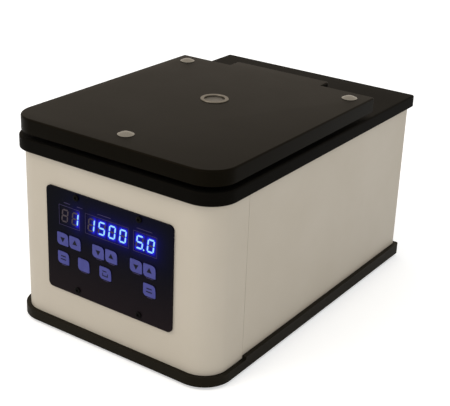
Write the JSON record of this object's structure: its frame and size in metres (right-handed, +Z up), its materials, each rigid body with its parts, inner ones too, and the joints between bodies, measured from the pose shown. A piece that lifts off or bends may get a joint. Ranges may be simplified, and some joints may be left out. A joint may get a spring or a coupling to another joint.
{
  "type": "microcentrifuge",
  "caption": "Bench microcentrifuge with a latched flat lid, viewing port, fixed-angle rotor, digit readouts and push keys on a round-cornered metal case.",
  "frame": {"origin": "on the bench under the middle of the case, at the bottom of the feet", "axes": "+X right along the front seen from the front, +Y to the rear, +Z up"},
  "size_m": [0.2496, 0.378, 0.22],
  "materials": {
    "case_enamel": "satin powder coat",
    "dark_moulding": "fine texture",
    "panel_film": "smooth",
    "key_blue": "satin",
    "display_black": "polished",
    "rubber": "matte",
    "stainless": "brushed",
    "zinc_steel": "zinc plated",
    "satin_metal": "satin",
    "bright_steel": "polished",
    "black_steel": "black oxide",
    "aluminium": "anodised",
    "motor_paint": "satin",
    "clear_glass": "clear",
    "brass": "bright",
    "circuit_board": "solder mask",
    "black_plastic": "fine texture",
    "capacitor_sleeve": "shrink sleeve",
    "white_nylon": "plain"
  },
  "bodies": {
    "housing": {"front_fascia": "case_enamel", "left_side": "case_enamel", "right_side": "case_enamel", "rear_panel": "case_enamel", "top_deck": "dark_moulding", "base_tray": "dark_moulding", "control_panel": "panel_film", "led_displays": "display_black", "feet": "rubber", "bowl_seal": "rubber", "vibration_mounts": "rubber", "shaft_boot": "rubber", "bowl": "stainless", "latch_bracket": "zinc_steel", "hinge_bracket": "zinc_steel", "motor_plate": "zinc_steel", "stator": "zinc_steel", "medium_screws": "zinc_steel", "small_screws": "zinc_steel", "motor_screws": "zinc_steel", "bearings": "zinc_steel", "hinge_pin": "bright_steel", "panel_screws": "black_steel", "heat_sink": "aluminium", "motor_cap": "aluminium", "motor_housing": "motor_paint", "inlet_blades": "brass", "display_board": "circuit_board", "supply_board": "circuit_board", "power_inlet": "black_plastic", "switch_frame": "black_plastic", "key_switches": "black_plastic", "latch_solenoid": "black_plastic", "capacitors": "capacitor_sleeve", "board_spacers": "white_nylon"},
    "lid": {"lid_cover": "dark_moulding", "lid_plate": "stainless", "lid_bolts": "satin_metal", "port_window": "clear_glass", "port_ring": "satin_metal", "striker": "zinc_steel", "striker_screws": "zinc_steel"},
    "rotor_set": {"rotor": "aluminium", "rotor_nut": "aluminium", "motor_shaft": "zinc_steel", "magnet_rotor": "zinc_steel"},
    "latch_bolt": {"latch_bolt": "bright_steel"},
    "power_rocker": {"power_rocker": "black_plastic"},
    "fuse_drawer": {"fuse_drawer": "black_plastic", "fuse": "clear_glass"},
    "key_1": {"key_1": "key_blue"},
    "key_2": {"key_2": "key_blue"},
    "key_3": {"key_3": "key_blue"},
    "key_4": {"key_4": "key_blue"},
    "key_5": {"key_5": "key_blue"},
    "key_6": {"key_6": "key_blue"},
    "key_7": {"key_7": "key_blue"},
    "key_8": {"key_8": "key_blue"},
    "key_9": {"key_9": "key_blue"},
    "key_10": {"key_10": "key_blue"}
  },
  "joints": [
    {"name": "lid_hinge", "type": "hinge", "parent": "housing", "child": "lid", "pos_m": [0, 0.104, 0.206], "axis": [-1, 0, 0], "range_deg": [0, 80]},
    {"name": "rotor_spin", "type": "hinge", "parent": "housing", "child": "rotor_set", "pos_m": [0, -0.02, 0.12], "axis": [0, 0, 1], "continuous": true},
    {"name": "latch_slide", "type": "slide", "parent": "housing", "child": "latch_bolt", "axis": [0, -1, 0], "range_m": [0, 0.008], "stiffness_N_per_m": 60},
    {"name": "rocker_tilt", "type": "hinge", "parent": "housing", "child": "power_rocker", "pos_m": [-0.014, 0.18315, 0.046], "axis": [1, 0, 0], "range_deg": [0, 20]},
    {"name": "drawer_slide", "type": "slide", "parent": "housing", "child": "fuse_drawer", "axis": [0, 1, 0], "range_m": [0, 0.015]},
    {"name": "key_1_press", "type": "slide", "parent": "housing", "child": "key_1", "axis": [0, 1, 0], "range_m": [0, 0.0005], "stiffness_N_per_m": 400},
    {"name": "key_2_press", "type": "slide", "parent": "housing", "child": "key_2", "axis": [0, 1, 0], "range_m": [0, 0.0005], "stiffness_N_per_m": 400},
    {"name": "key_3_press", "type": "slide", "parent": "housing", "child": "key_3", "axis": [0, 1, 0], "range_m": [0, 0.0005], "stiffness_N_per_m": 400},
    {"name": "key_4_press", "type": "slide", "parent": "housing", "child": "key_4", "axis": [0, 1, 0], "range_m": [0, 0.0005], "stiffness_N_per_m": 400},
    {"name": "key_5_press", "type": "slide", "parent": "housing", "child": "key_5", "axis": [0, 1, 0], "range_m": [0, 0.0005], "stiffness_N_per_m": 400},
    {"name": "key_6_press", "type": "slide", "parent": "housing", "child": "key_6", "axis": [0, 1, 0], "range_m": [0, 0.0005], "stiffness_N_per_m": 400},
    {"name": "key_7_press", "type": "slide", "parent": "housing", "child": "key_7", "axis": [0, 1, 0], "range_m": [0, 0.0005], "stiffness_N_per_m": 400},
    {"name": "key_8_press", "type": "slide", "parent": "housing", "child": "key_8", "axis": [0, 1, 0], "range_m": [0, 0.0005], "stiffness_N_per_m": 400},
    {"name": "key_9_press", "type": "slide", "parent": "housing", "child": "key_9", "axis": [0, 1, 0], "range_m": [0, 0.0005], "stiffness_N_per_m": 400},
    {"name": "key_10_press", "type": "slide", "parent": "housing", "child": "key_10", "axis": [0, 1, 0], "range_m": [0, 0.0005], "stiffness_N_per_m": 400}
  ]
}
